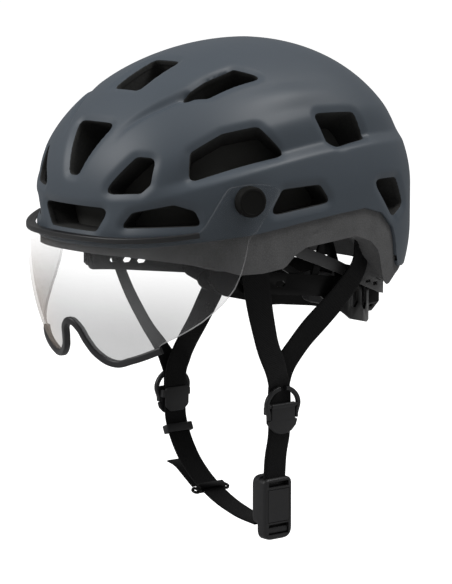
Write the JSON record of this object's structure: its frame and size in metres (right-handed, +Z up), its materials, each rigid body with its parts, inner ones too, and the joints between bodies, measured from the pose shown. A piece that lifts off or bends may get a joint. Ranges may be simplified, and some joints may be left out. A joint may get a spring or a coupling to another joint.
{
  "type": "cycling helmet with visor",
  "caption": "Vented cycling helmet with a clear tilting face visor, webbing straps with a magnetic chin buckle, and a dial-adjusted nape cradle.",
  "frame": {"origin": "middle of the head opening, level with the front lower edge of the shell", "axes": "+Z up through the crown, -Y to the front, +X to the wearer's left"},
  "size_m": [0.2244, 0.2725, 0.3515],
  "materials": {
    "shell": "matte",
    "foam": "moulded beads",
    "pad": "brushed",
    "lens": "light silver",
    "seal": "satin",
    "plastic": "satin",
    "hardware": "fine grain",
    "belt": "satin",
    "webbing": "woven",
    "steel": "plain"
  },
  "bodies": {
    "root": {"brow_pad": "pad", "buckle_magnet": "steel", "buckle_outer": "hardware", "buckle_strap": "webbing", "chin_strap": "webbing", "crown_pads": "pad", "divider_frame_left": "hardware", "divider_frame_right": "hardware", "foam_liner": "foam", "friction_washer_left": "seal", "friction_washer_right": "seal", "front_strap_left": "webbing", "front_strap_right": "webbing", "hanger_peg_left": "plastic", "hanger_peg_right": "plastic", "outer_shell": "shell", "pivot_screw_left": "steel", "pivot_screw_right": "steel", "pivot_socket_left": "plastic", "pivot_socket_right": "plastic", "rear_strap_left": "webbing", "rear_strap_right": "webbing", "side_pads": "pad", "strap_anchors": "plastic", "strap_tail": "webbing", "temple_anchor_left": "plastic", "temple_anchor_right": "plastic"},
    "visor": {"visor_lens": "lens", "visor_nose_seal": "seal", "visor_brow_seal": "seal", "pivot_cap_left": "plastic", "pivot_cap_right": "plastic"},
    "retention": {"nape_cradle": "plastic", "nape_pad": "pad", "dial_housing": "plastic", "temple_band_left": "plastic", "temple_band_right": "plastic", "tension_belt_left": "belt", "tension_belt_right": "belt"},
    "dial": {"fit_dial": "hardware", "dial_pinion": "plastic"},
    "left_rack": {"rack_left": "belt"},
    "right_rack": {"rack_right": "belt"},
    "left_flap": {"divider_flap_left": "hardware"},
    "right_flap": {"divider_flap_right": "hardware"},
    "buckle_catch": {"buckle_inner": "hardware", "catch_magnet": "steel"},
    "keeper": {"strap_keeper": "seal"},
    "adjuster": {"length_adjuster": "plastic"}
  },
  "joints": [
    {"name": "visor_tilt", "type": "hinge", "parent": "root", "child": "visor", "pos_m": [0, -0.0642, 0.0282], "axis": [-1, 0, 0], "range_deg": [0, 56]},
    {"name": "fit_height", "type": "hinge", "parent": "root", "child": "retention", "pos_m": [0, -0.068, -0.028], "axis": [1, 0, 0], "range_deg": [-3, 3]},
    {"name": "dial_turn", "type": "hinge", "parent": "retention", "child": "dial", "pos_m": [0, 0.12, -0.058], "axis": [0, 1, 0], "range_deg": [-120, 120]},
    {"name": "rack_left_slide", "type": "slide", "parent": "retention", "child": "left_rack", "axis": [1, 0, 0], "range_m": [-0.0127, 0.0127], "deforming": ["tension_belt_left"]},
    {"name": "rack_right_slide", "type": "slide", "parent": "retention", "child": "right_rack", "axis": [-1, 0, 0], "range_m": [-0.0127, 0.0127], "deforming": ["tension_belt_right"]},
    {"name": "flap_left_lift", "type": "hinge", "parent": "root", "child": "left_flap", "pos_m": [0.063, 0, -0.124], "axis": [0, -1, 0], "range_deg": [0, 90]},
    {"name": "flap_right_lift", "type": "hinge", "parent": "root", "child": "right_flap", "pos_m": [-0.063, 0, -0.128], "axis": [0, 1, 0], "range_deg": [0, 90]},
    {"name": "buckle_release", "type": "slide", "parent": "root", "child": "buckle_catch", "axis": [0, -1, 0], "range_m": [0, 0.014], "deforming": ["chin_strap"]},
    {"name": "keeper_slide", "type": "slide", "parent": "root", "child": "keeper", "axis": [0.4179, 0, -0.9085], "range_m": [-0.002, 0.002]},
    {"name": "adjuster_slide", "type": "slide", "parent": "root", "child": "adjuster", "axis": [0.9018, 0, -0.4321], "range_m": [-0.002, 0.003]}
  ],
  "couplings": [
    {"joint": "rack_left_slide", "follows": "dial_turn", "m_per_rad": 0.006},
    {"joint": "rack_right_slide", "follows": "dial_turn", "m_per_rad": 0.006}
  ]
}
